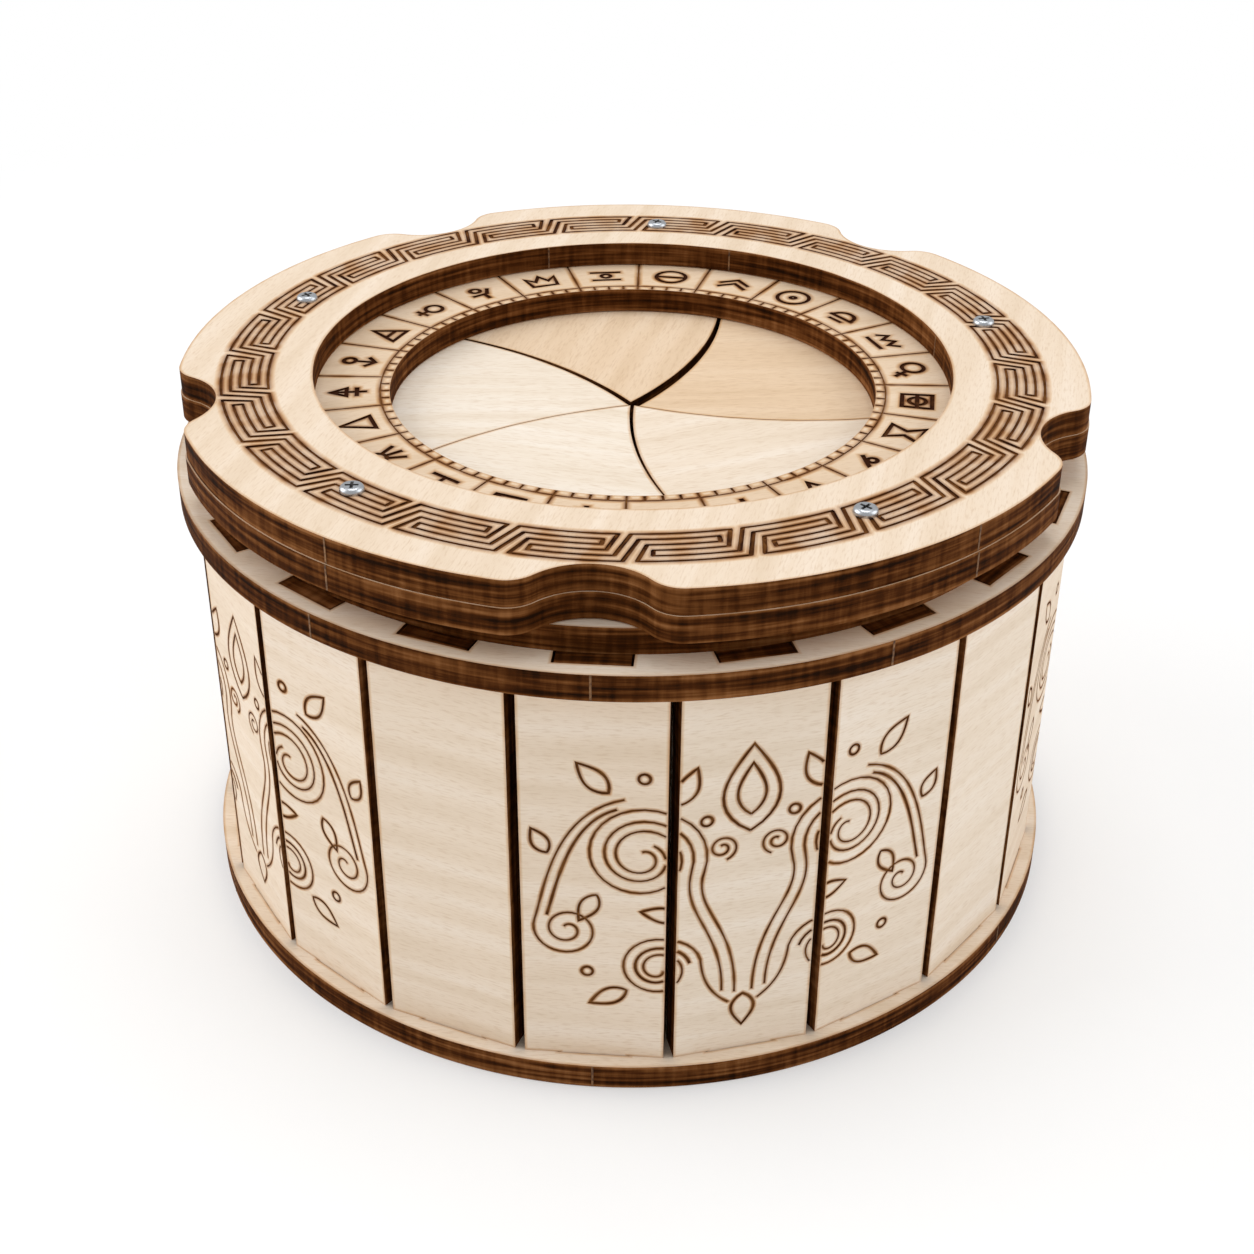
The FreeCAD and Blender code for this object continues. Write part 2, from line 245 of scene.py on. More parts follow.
def new_material(name):
    material = bpy.data.materials.new(name)
    material.use_nodes = True
    return material, material.node_tree.nodes["Principled BSDF"]


# Bare birch veneer, peeled and sanded: pale cream with short fibres, golden brown beside a burnt line.
# The fibres are drawn a little coarser than real ones, so that they show
GRAIN_LENGTH, GRAIN_WIDTH = 50.0, 3.333
FIBRE_LENGTH, FIBRE_WIDTH, FIBRE_RELIEF = 1.818, 0.2778, 0.1
BURN_PATCH, BURN_POWER = 4.545, 0.65
birch, shader = new_material("birch_veneer")
place_on_sheet = add_node(birch, "ShaderNodeAttribute", attribute_name="sheet").outputs["Vector"]
grain_scale = add_node(birch, "ShaderNodeMapping", {0: place_on_sheet},
                       in_Scale=(1 / GRAIN_LENGTH, 1 / GRAIN_WIDTH, 1 / GRAIN_WIDTH))
grain = add_node(birch, "ShaderNodeTexNoise", {0: grain_scale.outputs[0]}, in_Scale=1.0, in_Detail=5.0)
fibre_scale = add_node(birch, "ShaderNodeMapping", {0: place_on_sheet},
                       in_Scale=(1 / FIBRE_LENGTH, 1 / FIBRE_WIDTH, 1.0))
fibre = add_node(birch, "ShaderNodeTexNoise", {0: fibre_scale.outputs[0]}, in_Scale=1.0, in_Detail=3.0)
veneer = add_node(birch, "ShaderNodeValToRGB", {0: grain.outputs[0]},
                  ((0.3, "#e8d8c3"), (0.5, "#f0e2d0"), (0.7, "#f5eadc")))
fibre_mask = add_node(birch, "ShaderNodeMapRange", {0: fibre.outputs[0]},
                      in_From_Min=0.5, in_From_Max=0.75, in_To_Max=0.55)
fibrous = add_node(birch, "ShaderNodeMix", {0: fibre_mask.outputs[0], 6: veneer.outputs[0]},
                   data_type="RGBA", in_7=linear("#d5bda0"))
sheet_tone = add_node(birch, "ShaderNodeAttribute", attribute_name="tone")
tone_colour = add_node(birch, "ShaderNodeValToRGB", {0: sheet_tone.outputs["Fac"]},
                       ((0.0, "#f1dfc9"), (0.5, "#fcf8f4"), (1.0, "#ffffff")))
toned = add_node(birch, "ShaderNodeMix", {6: fibrous.outputs[2], 7: tone_colour.outputs[0]},
                 data_type="RGBA", blend_type="MULTIPLY", in_0=1.0)
burn = add_node(birch, "ShaderNodeAttribute", attribute_name="scorch")
burn_depth = add_node(birch, "ShaderNodeMath", {0: burn.outputs["Fac"]}, operation="POWER", in_1=BURN_POWER)
patches = add_node(birch, "ShaderNodeTexNoise", {0: place_on_sheet}, in_Scale=1 / BURN_PATCH, in_Detail=2.0)
patch_part = add_node(birch, "ShaderNodeMapRange", {0: patches.outputs[0]},
                      in_From_Min=0.35, in_From_Max=0.65, in_To_Min=0.65, in_To_Max=1.1)
burn_mask = add_node(birch, "ShaderNodeMath", {0: burn_depth.outputs[0], 1: patch_part.outputs[0]},
                     operation="MULTIPLY", use_clamp=True)
burn_colour = add_node(birch, "ShaderNodeValToRGB", {0: burn.outputs["Fac"]},
                       ((0.0, "#dcae6c"), (0.5, "#b8803f"), (1.0, "#704018")))
scorched = add_node(birch, "ShaderNodeMix",
                    {0: burn_mask.outputs[0], 6: toned.outputs[2], 7: burn_colour.outputs[0]},
                    data_type="RGBA")
birch.node_tree.links.new(scorched.outputs[2], shader.inputs["Base Color"])
raised = add_node(birch, "ShaderNodeBump", {"Height": fibre.outputs[0]},
                  in_Strength=0.12, in_Distance=FIBRE_RELIEF * MM)
birch.node_tree.links.new(raised.outputs[0], shader.inputs["Normal"])
shader.inputs["Roughness"].default_value = 0.6
shader.inputs["Specular IOR Level"].default_value = 0.3

# Laser-cut plywood edge: dark brown char with soft bands along the plies, paler at the two face veneers
BAND_LENGTH, BAND_HEIGHT = 20.0, 0.8333
STREAK_WIDTH, STREAK_HEIGHT, STREAK_PART = 1.25, 10.0, 0.4
FACE_PLY_POWER, FACE_PLY_PART = 5.0, 0.13
CHAR_RELIEF = 0.2
charred_edge, shader = new_material("charred_plywood_edge")
place_on_sheet = add_node(charred_edge, "ShaderNodeAttribute", attribute_name="sheet").outputs["Vector"]
band_scale = add_node(charred_edge, "ShaderNodeMapping", {0: place_on_sheet},
                      in_Scale=(1 / BAND_LENGTH, 1 / BAND_LENGTH, 1 / BAND_HEIGHT))
band = add_node(charred_edge, "ShaderNodeTexNoise", {0: band_scale.outputs[0]}, in_Scale=1.0, in_Detail=3.0)
streak_scale = add_node(charred_edge, "ShaderNodeMapping", {0: place_on_sheet},
                        in_Scale=(1 / STREAK_WIDTH, 1 / STREAK_WIDTH, 1 / STREAK_HEIGHT))
streak = add_node(charred_edge, "ShaderNodeTexNoise", {0: streak_scale.outputs[0]},
                  in_Scale=1.0, in_Detail=6.0)
height = add_node(charred_edge, "ShaderNodeSeparateXYZ", {0: place_on_sheet}).outputs[2]
plies = add_node(charred_edge, "ShaderNodeMath", {0: height}, operation="MULTIPLY", in_1=2 * math.pi / PLY)
ply_wave = add_node(charred_edge, "ShaderNodeMath", {0: plies.outputs[0]}, operation="COSINE")
face_wave = add_node(charred_edge, "ShaderNodeMath", {0: ply_wave.outputs[0]},
                     operation="MULTIPLY_ADD", in_1=0.5, in_2=0.5)
face_ply = add_node(charred_edge, "ShaderNodeMath", {0: face_wave.outputs[0]},
                    operation="POWER", in_1=FACE_PLY_POWER)
banded = add_node(charred_edge, "ShaderNodeMath", {0: face_ply.outputs[0], 2: band.outputs[0]},
                  operation="MULTIPLY_ADD", in_1=FACE_PLY_PART)
marked = add_node(charred_edge, "ShaderNodeMath", {0: streak.outputs[0], 2: banded.outputs[0]},
                  operation="MULTIPLY_ADD", in_1=STREAK_PART)
char = add_node(charred_edge, "ShaderNodeValToRGB", {0: marked.outputs[0]},
                ((0.52, "#200e03"), (0.68, "#462309"), (0.83, "#6a3f1d"), (1.0, "#8f5f38")))
charred_edge.node_tree.links.new(char.outputs[0], shader.inputs["Base Color"])
ridges = add_node(charred_edge, "ShaderNodeBump", {"Height": marked.outputs[0]},
                  in_Strength=0.3, in_Distance=CHAR_RELIEF * MM)
charred_edge.node_tree.links.new(ridges.outputs[0], shader.inputs["Normal"])
shader.inputs["Roughness"].default_value = 0.75
shader.inputs["Specular IOR Level"].default_value = 0.03

# Burnt line: a shallow groove of char, light brown where the pass was quick and thin, dark where it was slow
SOOT_PATCH, SOOT_PART = 2.857, 0.7
charred_groove, shader = new_material("charred_groove")
place_on_sheet = add_node(charred_groove, "ShaderNodeAttribute", attribute_name="sheet").outputs["Vector"]
pass_width = add_node(charred_groove, "ShaderNodeAttribute", attribute_name="burn_width")
soot = add_node(charred_groove, "ShaderNodeTexNoise", {0: place_on_sheet},
                in_Scale=1 / SOOT_PATCH, in_Detail=4.0)
soot_part = add_node(charred_groove, "ShaderNodeMath", {0: soot.outputs[0], 2: pass_width.outputs["Fac"]},
                     operation="MULTIPLY_ADD", in_1=SOOT_PART)
sooty = add_node(charred_groove, "ShaderNodeValToRGB", {0: soot_part.outputs[0]},
                 ((0.45, "#986837"), (0.72, "#714520"), (0.98, "#381a09")))
charred_groove.node_tree.links.new(sooty.outputs[0], shader.inputs["Base Color"])
shader.inputs["Roughness"].default_value = 0.8
shader.inputs["Specular IOR Level"].default_value = 0.05

# Uncut bridge that held a piece in its sheet: a thin paler stub of torn fibres left on the charred edge
TEAR_WIDTH = 0.6667
bridge_stub, shader = new_material("broken_bridge_stub")
place_on_sheet = add_node(bridge_stub, "ShaderNodeAttribute", attribute_name="sheet").outputs["Vector"]
tear = add_node(bridge_stub, "ShaderNodeTexNoise", {0: place_on_sheet},
                in_Scale=1 / TEAR_WIDTH, in_Detail=3.0)
torn = add_node(bridge_stub, "ShaderNodeValToRGB", {0: tear.outputs[0]},
                ((0.35, "#472a14"), (0.7, "#94693f")))
bridge_stub.node_tree.links.new(torn.outputs[0], shader.inputs["Base Color"])
shader.inputs["Roughness"].default_value = 0.75


def rim_stubs(radius, degrees):
    return [(polar(radius, math.radians(angle)), math.radians(angle)) for angle in degrees]


def mortise_holes():
    inner = STAVE_BACK - MORTISE_PLAY
    outer = inner + MORTISE_DEPTH
    half = MORTISE_WIDTH / 2
    holes = []
    for k in range(STAVE_COUNT):
        turn = Matrix.Rotation(FIRST_PIVOT + k * STAVE_PITCH, 2)
        flat = [(inner, -half), (outer, -half), (outer, half), (inner, half)]
        holes.append([tuple(turn @ Vector(corner)) for corner in flat])
    return holes


base = cut_sheet(
    "base_disc_ply", ring(BASE_RADIUS, RIM_STEPS), mortise_holes(),
    stubs=rim_stubs(BASE_RADIUS, BASE_STUBS),
)
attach(base, "box_body")
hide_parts("base_disc")

# Staves
# Flat upright slats of the same plywood, with a tenon at each end glued into the base and the flange.
# A running scroll is burnt into groups of them; the square edges leave dark gaps between neighbours.
STAVE_WIDTH = 20.2
STAVE_STEP = 21.7
STAVE_LOW, STAVE_HIGH = PLY, 68.0
STAVE_TONES = (0.35, 0.7)
TENON_REACH = 3.95
SPRAY_STAVES, SPRAY_SHIFT = 3, 2
VINE_DEPTH, VINE_HALO = 0.2, 0.4
LONG_WIDTH, SHORT_WIDTH = 0.25, 0.34
LONG_POINTS = 30
TURN_STEPS, LEAF_STEPS, BERRY_STEPS = 30, 12, 16
LEAF_SWELL = 0.8
BERRY_RADIUS = 0.8
EDGE_MARGIN = 0.25
SHORTEST_RUN, LEAST_REACH = 0.6, 1e-9


def bend(start, pull, second_pull, end, steps=20):
    # One smooth stroke from start to end
    handles = [Vector(point).to_3d() for point in (start, pull, second_pull, end)]
    return [point.to_2d() for point in interpolate_bezier(*handles, steps + 1)]


def spiral(centre, inner, outer, turns, end):
    # A curl that opens anticlockwise and ends at the angle given
    steps = int(TURN_STEPS * turns)
    shares = [k / steps for k in range(steps + 1)]
    return [polar(inner + (outer - inner) * t, end - (1 - t) * turns * 2 * math.pi, centre) for t in shares]


def leaf(root, length, width, heading):
    # Two edges from the root to the point, widest a little before the middle
    along = Vector((math.cos(heading), math.sin(heading)))
    across = Vector((-along.y, along.x))
    shares = [k / LEAF_STEPS for k in range(LEAF_STEPS + 1)]
    edge = [(share, math.sin(math.pi * share ** LEAF_SWELL) * width / 2) for share in shares]
    upper = [tuple(Vector(root) + along * length * part + across * swell) for part, swell in edge]
    lower = [tuple(Vector(root) + along * length * part - across * swell) for part, swell in edge]
    return upper + lower[-2::-1]


def berry(centre):
    return ring(BERRY_RADIUS, BERRY_STEPS, centre) + [polar(BERRY_RADIUS, 0.0, centre)]


def vine_strokes():
    # Half a spray of scrolls, leaves and berries; across from its middle, up from the table
    high_end, low_end, side_end = math.radians(200), math.radians(170), math.radians(20)
    stem = bend((6.4, 37.9), (8.0, 31.0), (1.3, 28.0), (1.3, 15.0))
    second_stem = bend((8.1, 38.5), (9.9, 31.0), (3.2, 27.0), (3.2, 15.6))
    root = bend((6.5, 22.1), (6.2, 18.5), (5.2, 15.5), (2.2, 13.2))
    branch = bend((29.9, 29.1), (28.4, 35.0), (27.0, 48.0), (17.5, 50.6))
    strokes = [
        spiral((15.0, 41.0), 0.9, 9.2, 2.3, high_end) + stem[1:],
        spiral((15.0, 41.0), 2.6, 7.3, 1.2, high_end) + second_stem[1:],
        spiral((12.6, 21.0), 0.8, 6.2, 1.9, low_end) + root[1:],
        spiral((12.6, 21.0), 2.2, 4.6, 0.8, low_end),
        spiral((25.4, 27.5), 0.7, 4.8, 1.9, side_end) + branch[1:],
        bend((28.2, 30.0), (26.6, 36.0), (25.0, 46.5), (18.5, 48.9)),
        spiral((3.9, 41.6), 0.5, 2.2, 1.5, math.radians(250)),
        leaf((10.0, 50.0), 6.2, 3.0, math.radians(112)),
        leaf((19.6, 51.6), 6.4, 3.0, math.radians(48)),
        leaf((28.0, 41.0), 4.6, 2.4, math.radians(62)),
        leaf((21.2, 34.0), 5.4, 2.6, math.radians(-62)),
        leaf((17.0, 16.8), 6.0, 2.8, math.radians(-28)),
        leaf((9.6, 30.6), 5.6, 2.6, math.radians(8)),
        berry((14.8, 54.2)),
        berry((22.6, 20.0)),
        berry((6.2, 46.6)),
    ]
    return strokes


def clipped(points, low, high):
    # The parts of a stroke that lie between the two edges of a stave
    parts = []
    run = []
    for start, end in zip(points, points[1:]):
        a, b = Vector(start), Vector(end)
        reach = b.x - a.x if abs(b.x - a.x) > LEAST_REACH else LEAST_REACH
        first, last = sorted(((low - a.x) / reach, (high - a.x) / reach))
        first, last = max(first, 0.0), min(last, 1.0)
        if first < last:
            run = run or [a.lerp(b, first)]
            run.append(a.lerp(b, last))
        if run and (first >= last or last < 1.0):
            parts.append(run)
            run = []
    return parts + [run] if run else parts


def vine_lines(number):
    # The spray runs over three staves and leaves the fourth bare; its short strokes are burnt wider
    part = (number + SPRAY_SHIFT) % (SPRAY_STAVES + 1)
    if part == SPRAY_STAVES:
        return []
    middle = [leaf((0.0, 44.0), 14.5, 8.0, math.pi / 2), leaf((0.0, 46.8), 8.6, 4.0, math.pi / 2)]
    middle.append(leaf((0.0, 14.4), 6.0, 3.4, -math.pi / 2))
    side = vine_strokes()
    mirrored = [[(-x, y) for x, y in stroke] for stroke in side]
    offset = (part - SPRAY_STAVES // 2) * STAVE_STEP
    edge = STAVE_WIDTH / 2 - EDGE_MARGIN
    lines = []
    for stroke in middle + side + mirrored:
        width = SHORT_WIDTH if len(stroke) < LONG_POINTS else LONG_WIDTH
        for run in clipped([(x - offset, y) for x, y in stroke], -edge, edge):
            if sum((run[k + 1] - run[k]).length for k in range(len(run) - 1)) > SHORTEST_RUN:
                lines.append((run, width, False))
    return lines


def stave_outline():
    half, tenon = STAVE_WIDTH / 2, TENON_WIDTH / 2
    right = [
        (tenon, STAVE_LOW - TENON_REACH), (tenon, STAVE_LOW), (half, STAVE_LOW),
        (half, STAVE_HIGH), (tenon, STAVE_HIGH), (tenon, STAVE_HIGH + TENON_REACH),
    ]
    return right + [(-x, y) for x, y in reversed(right)]


for k in range(STAVE_COUNT):
    angle = FIRST_PIVOT + k * STAVE_PITCH
    outward = Vector((math.cos(angle), math.sin(angle), 0.0))
    sideways = Vector((-math.sin(angle), math.cos(angle), 0.0))
    stand = Matrix((sideways, (0.0, 0.0, 1.0), outward)).transposed().to_4x4()
    stand.translation = outward * STAVE_BACK
    stave = cut_sheet(
        "stave_%02d_ply" % (k + 1), stave_outline(), (), vine_lines(k),
        depth=VINE_DEPTH, halo=VINE_HALO, place=stand, tone=random.uniform(*STAVE_TONES),
    )
    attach(stave, "box_body")
    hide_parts("stave_%02d" % (k + 1))

# Flange ring
# Plywood ring on top of the staves, glued over their tenons, which stay visible in the mortises.
# Arc slots let the lid screws and the drive pins of the blades travel.
FLANGE_LOW, FLANGE_HIGH = STAVE_HIGH, STAVE_HIGH + PLY
FLANGE_HOLE = 44.0
FLANGE_STUBS = (20, 95, 175, 237, 270, 303)
PIVOT_RADIUS = 58.7
BLADE_COUNT = 5
BLADE_PITCH = 2 * math.pi / BLADE_COUNT
LID_TRAVEL = math.radians(30.0)
SCREW_SLOT_HALF, PIN_SLOT_HALF = 1.3, 1.5
SLOT_STEPS, CAP_STEPS = 14, 8
PIN_REACH, PIN_TURN = 0.358 * PIVOT_RADIUS, math.radians(130.0)


def arc_slot(centre, half_width, start):
    # A slot with round ends, as far as the lid travels
    end = start + LID_TRAVEL
    first, last = polar(PIVOT_RADIUS, start, centre), polar(PIVOT_RADIUS, end, centre)
    far = arc(centre, PIVOT_RADIUS + half_width, start, end, SLOT_STEPS)
    end_cap = arc(last, half_width, end, end + math.pi, CAP_STEPS)
    near = arc(centre, PIVOT_RADIUS - half_width, end, start, SLOT_STEPS)
    start_cap = arc(first, half_width, start + math.pi, start + 2 * math.pi, CAP_STEPS)
    return far + end_cap[1:-1] + near + start_cap[1:-1]


slots = []
for k in range(BLADE_COUNT):
    pivot = FIRST_PIVOT + k * BLADE_PITCH
    slots.append(arc_slot((0.0, 0.0), SCREW_SLOT_HALF, pivot))
    slots.append(arc_slot(polar(PIN_REACH, pivot + PIN_TURN), PIN_SLOT_HALF, pivot))
flange = cut_sheet(
    "flange_ring_ply", ring(BASE_RADIUS, RIM_STEPS), mortise_holes() + slots + [ring(FLANGE_HOLE)],
    low=FLANGE_LOW, high=FLANGE_HIGH, stubs=rim_stubs(BASE_RADIUS, FLANGE_STUBS),
)
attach(flange, "box_body")
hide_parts("flange_ring")

# Spacer ring
# Narrow plywood ring glued on the flange round the blades; the lid slides over its top face.
# Its charred edge shows below the lid and in the finger notches.
SPACER_HIGH = FLANGE_HIGH + PLY
SPACER_INNER, SPACER_OUTER = 62.9, 66.0
spacer = cut_sheet(
    "spacer_ring_ply", ring(SPACER_OUTER), [ring(SPACER_INNER)], low=FLANGE_HIGH, high=SPACER_HIGH,
)
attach(spacer, "box_body")
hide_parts("spacer_ring")

# Lid rings
# Two plywood rings, glued together, the lower one a hair larger, with five finger notches to turn it by.
# A key band of two endless interlocking lines is burnt into the top ring.
LID_RADIUS = 70.0
NOTCH_RADIUS, NOTCH_REACH, SHOULDER_RADIUS = 10.0, 74.0, 5.0
SHOULDER_STEPS, HOLLOW_STEPS, RIM_ARC_STEPS = 10, 22, 56
FIRST_NOTCH = math.radians(54.0)
SCREW_HOLE, HOLE_STEPS = 1.06, 20
LID_PLAY = 0.2
LID_LOW = SPACER_HIGH + LID_PLAY
LID_SEAM, LID_TOP = LID_LOW + PLY, LID_LOW + 2 * PLY
LID_STUBS = (16, 88, 100, 161, 239.5, 315)
LOWER_HOLE, LOWER_GROWTH = 53.0, 0.2


def notched_outline(grow=0.0):
    # Rim arcs joined by a hollow between two rounded shoulders at each notch
    rim = LID_RADIUS + grow
    shoulder = LID_RADIUS - SHOULDER_RADIUS
    reach = NOTCH_RADIUS + SHOULDER_RADIUS
    swing = math.acos((shoulder ** 2 + NOTCH_REACH ** 2 - reach ** 2) / (2 * shoulder * NOTCH_REACH))
    outline = []
    for k in range(BLADE_COUNT):
        middle = FIRST_NOTCH + k * BLADE_PITCH
        hollow = polar(NOTCH_REACH, middle)
        first, second = polar(shoulder, middle - swing), polar(shoulder, middle + swing)
        lean = math.atan2(hollow[1] - first[1], hollow[0] - first[0]) - middle
        lean = (lean + math.pi) % (2 * math.pi) - math.pi
        outline += arc(first, SHOULDER_RADIUS + grow, middle - swing, middle + lean, SHOULDER_STEPS)
        inward = middle + math.pi
        outline += arc(hollow, NOTCH_RADIUS - grow, inward + lean, inward - lean, HOLLOW_STEPS)[1:-1]
        outline += arc(second, SHOULDER_RADIUS + grow, middle - lean, middle + swing, SHOULDER_STEPS)
        next_notch = middle + BLADE_PITCH
        outline += arc((0.0, 0.0), rim, middle + swing, next_notch - swing, RIM_ARC_STEPS)[1:-1]
    return outline


def screw_holes():
    pivots = [polar(PIVOT_RADIUS, FIRST_PIVOT + k * BLADE_PITCH) for k in range(BLADE_COUNT)]
    return [ring(SCREW_HOLE, HOLE_STEPS, pivot) for pivot in pivots]


lower_ring = cut_sheet(
    "lid_lower_ring_ply", notched_outline(LOWER_GROWTH), screw_holes() + [ring(LOWER_HOLE)],
    low=LID_LOW, high=LID_SEAM, stubs=rim_stubs(LID_RADIUS + LOWER_GROWTH, LID_STUBS),
)
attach(lower_ring, "lid")
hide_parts("lid_lower_ring")

KEY_COUNT = 24
KEY_PITCH = 360.0 / KEY_COUNT
KEY_MIDDLE = 11.05
KEY_INNER, KEY_STEP = 56.2, 1.4
KEY_WIDTH, KEY_STROKE = 0.4, 0.64
KEY_DEPTH, KEY_HALO = 0.22, 0.9
KEY_STEPS = 6
KEY_ENDS = ((-6.3, 7.0), (-4.4, 6.0), (-4.3, 5.0), (-5.0, 4.3), (-6.0, 4.4), (-7.0, 6.3))
KEY_LEVELS = ((4, 3, 0), (5, 2, 1))


def key_line(levels):
    # One endless line: each key runs along three levels, out, back and out again; level 0 is outermost
    runs = []
    for k in range(KEY_COUNT):
        for order, level in enumerate(levels):
            ends = KEY_ENDS[level] if order != 1 else KEY_ENDS[level][::-1]
            start, end = (math.radians(KEY_MIDDLE + k * KEY_PITCH + angle) for angle in ends)
            radius = KEY_INNER + KEY_STEP * (len(KEY_ENDS) - 1 - level)
            runs.append(arc((0.0, 0.0), radius, start, end, KEY_STEPS))
    return runs


def key_lines():
    # The laser dwells in the slanted strokes between the levels, so they are wider than the arcs
    lines = []
    for runs in (key_line(levels) for levels in KEY_LEVELS):
        lines.append(([point for run in runs for point in run], KEY_WIDTH, True))
        for run, following in zip(runs, runs[1:] + runs[:1]):
            lines.append(([run[-1], following[0]], KEY_STROKE, False))
    return lines


LID_HOLE, LID_HOLE_STEPS = 49.5, 260
LID_HOLE_STUBS = (74, 112, 15)
LID_GRAIN, LID_TONE = math.radians(80.0), 0.38
top_ring = cut_sheet(
    "lid_top_ring_ply", notched_outline(), screw_holes() + [ring(LID_HOLE, LID_HOLE_STEPS)], key_lines(),
    low=LID_SEAM, high=LID_TOP, depth=KEY_DEPTH, halo=KEY_HALO, grain_turn=LID_GRAIN, tone=LID_TONE,
    stubs=rim_stubs(LID_RADIUS, LID_STUBS) + rim_stubs(LID_HOLE, LID_HOLE_STUBS),
)
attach(top_ring, "lid")
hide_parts("lid_top_ring")

# Keeper ring
# Plywood ring below the flange, inside the box, laser-cut like the rest.
# The screws and nuts clamp it to the lid, so that the lid turns on the flange but can't lift off.
KEEPER_HALF = 4.0
KEEPER_PLAY = 0.2
KEEPER_HIGH = FLANGE_LOW - KEEPER_PLAY
keeper_holes = screw_holes() + [ring(PIVOT_RADIUS - KEEPER_HALF)]
keeper = cut_sheet(
    "keeper_ring_ply", ring(PIVOT_RADIUS + KEEPER_HALF), keeper_holes,
    low=KEEPER_HIGH - PLY, high=KEEPER_HIGH,
)
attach(keeper, "lid")
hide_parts("keeper_ring")

# Pivot screws and nuts
# Zinc-plated steel pan-head machine screws, on which the blades swing, and plain hexagon nuts below.
# The head is rolled round and its cross recess is punched in.
HEAD_RADIUS, HEAD_HEIGHT = 1.75, 0.9
HEAD_RIM, HEAD_ROUND, HEAD_STEPS = 0.2, 0.65, 6
SHANK_RADIUS, SHANK_LOW = 1.0, 61.4
TURNED_STEPS = 36
RECESS_REACH, RECESS_HALF, RECESS_DEPTH = 1.0, 0.24, 0.6
RECESS_OVERCUT, RECESS_TAPER = 0.1, 0.6
RECESS_TURN = (0.3, 1.1, 0.7, 0.1, 0.9)
SCREW_MERGE = 1e-4
SHARP_ANGLE = math.radians(35.0)
CROSS = [(RECESS_HALF, RECESS_HALF), (RECESS_REACH, RECESS_HALF), (RECESS_REACH, -RECESS_HALF)]

# Zinc plating on steel: bright and bluish, with a slightly uneven sheen
PLATING_GRAIN = 0.4
zinc_steel, shader = new_material("zinc_plated_steel")
spot = add_node(zinc_steel, "ShaderNodeTexCoord").outputs["Object"]
plated = add_node(zinc_steel, "ShaderNodeTexNoise", {0: spot},
                  in_Scale=1 / (PLATING_GRAIN * MM), in_Detail=3.0)
sheen = add_node(zinc_steel, "ShaderNodeMapRange", {0: plated.outputs[0]}, in_To_Min=0.22, in_To_Max=0.42)
zinc_steel.node_tree.links.new(sheen.outputs[0], shader.inputs["Roughness"])
shader.inputs["Base Color"].default_value = linear("#c3c7cc")
shader.inputs["Metallic"].default_value = 1.0

# Punched recess: the same zinc, duller, with painted shade: coloured darker in patches to stand in for the
# shade inside the cross
RECESS_SHADE_PATCH = 0.5556
dark_recess, shader = new_material("punched_zinc_recess")
spot = add_node(dark_recess, "ShaderNodeTexCoord").outputs["Object"]
recess_shade_noise = add_node(dark_recess, "ShaderNodeTexNoise", {0: spot}, in_Scale=1 / (RECESS_SHADE_PATCH * MM))
# Painted shade: dark grey patches stand in for the shade that falls inside the recess
painted_recess_shade = add_node(dark_recess, "ShaderNodeValToRGB", {0: recess_shade_noise.outputs[0]},
                      ((0.3, "#5d5b5a"), (0.7, "#8a8887")))
dark_recess.node_tree.links.new(painted_recess_shade.outputs[0], shader.inputs["Base Color"])
shader.inputs["Metallic"].default_value = 1.0
shader.inputs["Roughness"].default_value = 0.5

screw_profile = [(0.0, SHANK_LOW), (SHANK_RADIUS, SHANK_LOW), (SHANK_RADIUS, LID_TOP), (HEAD_RADIUS, LID_TOP)]
for k in range(HEAD_STEPS + 1):
    lean = math.pi / 2 * k / HEAD_STEPS
    out = HEAD_RADIUS - HEAD_ROUND * (1 - math.cos(lean))
    screw_profile.append((out, LID_TOP + HEAD_RIM + (HEAD_HEIGHT - HEAD_RIM) * math.sin(lean)))
screw_profile.append((0.0, LID_TOP + HEAD_HEIGHT))
screw_bm = bmesh.new()
recess_bm = bmesh.new()
for k in range(BLADE_COUNT):
    axis = polar(PIVOT_RADIUS, FIRST_PIVOT + k * BLADE_PITCH)
    verts = [screw_bm.verts.new((axis[0] + x, axis[1], z)) for x, z in screw_profile]
    edges = [screw_bm.edges.new(pair) for pair in zip(verts, verts[1:])]
    bmesh.ops.spin(screw_bm, geom=verts + edges, axis=(0, 0, 1), cent=(axis[0], axis[1], 0),
                   angle=2 * math.pi, steps=TURNED_STEPS, use_merge=True)
    quarters = [Matrix.Rotation(RECESS_TURN[k] - math.pi / 2 * quarter, 2) for quarter in range(4)]
    corners = [Vector(axis) + turn @ Vector(point) for turn in quarters for point in CROSS]
    bottom = LID_TOP + HEAD_HEIGHT - RECESS_DEPTH
    cross = recess_bm.faces.new([recess_bm.verts.new((x, y, bottom)) for x, y in corners])
    mouth = bmesh.ops.extrude_face_region(recess_bm, geom=[cross])["geom"]
    mouth = [item for item in mouth if isinstance(item, bmesh.types.BMVert)]
    bmesh.ops.translate(recess_bm, vec=(0, 0, RECESS_DEPTH + RECESS_OVERCUT), verts=mouth)
    bmesh.ops.scale(recess_bm, vec=(RECESS_TAPER, RECESS_TAPER, 1), verts=cross.verts,
                    space=Matrix.Translation((-axis[0], -axis[1], 0)))
pieces = []
for name, bm, material in (("screws", screw_bm, zinc_steel), ("recess", recess_bm, dark_recess)):
    bmesh.ops.remove_doubles(bm, verts=bm.verts, dist=SCREW_MERGE)
    bmesh.ops.recalc_face_normals(bm, faces=bm.faces)
    bmesh.ops.scale(bm, vec=(MM, MM, MM), verts=bm.verts)
    mesh = bpy.data.meshes.new(name)
    bm.to_mesh(mesh)
    bm.free()
    mesh.materials.append(material)
    pieces.append(bpy.data.objects.new(name, mesh))
    bpy.context.scene.collection.objects.link(pieces[-1])
screws, recess = pieces
punch = screws.modifiers.new("cross_recess", "BOOLEAN")
punch.object = recess
punch.solver = "EXACT"
punch.material_mode = "TRANSFER"
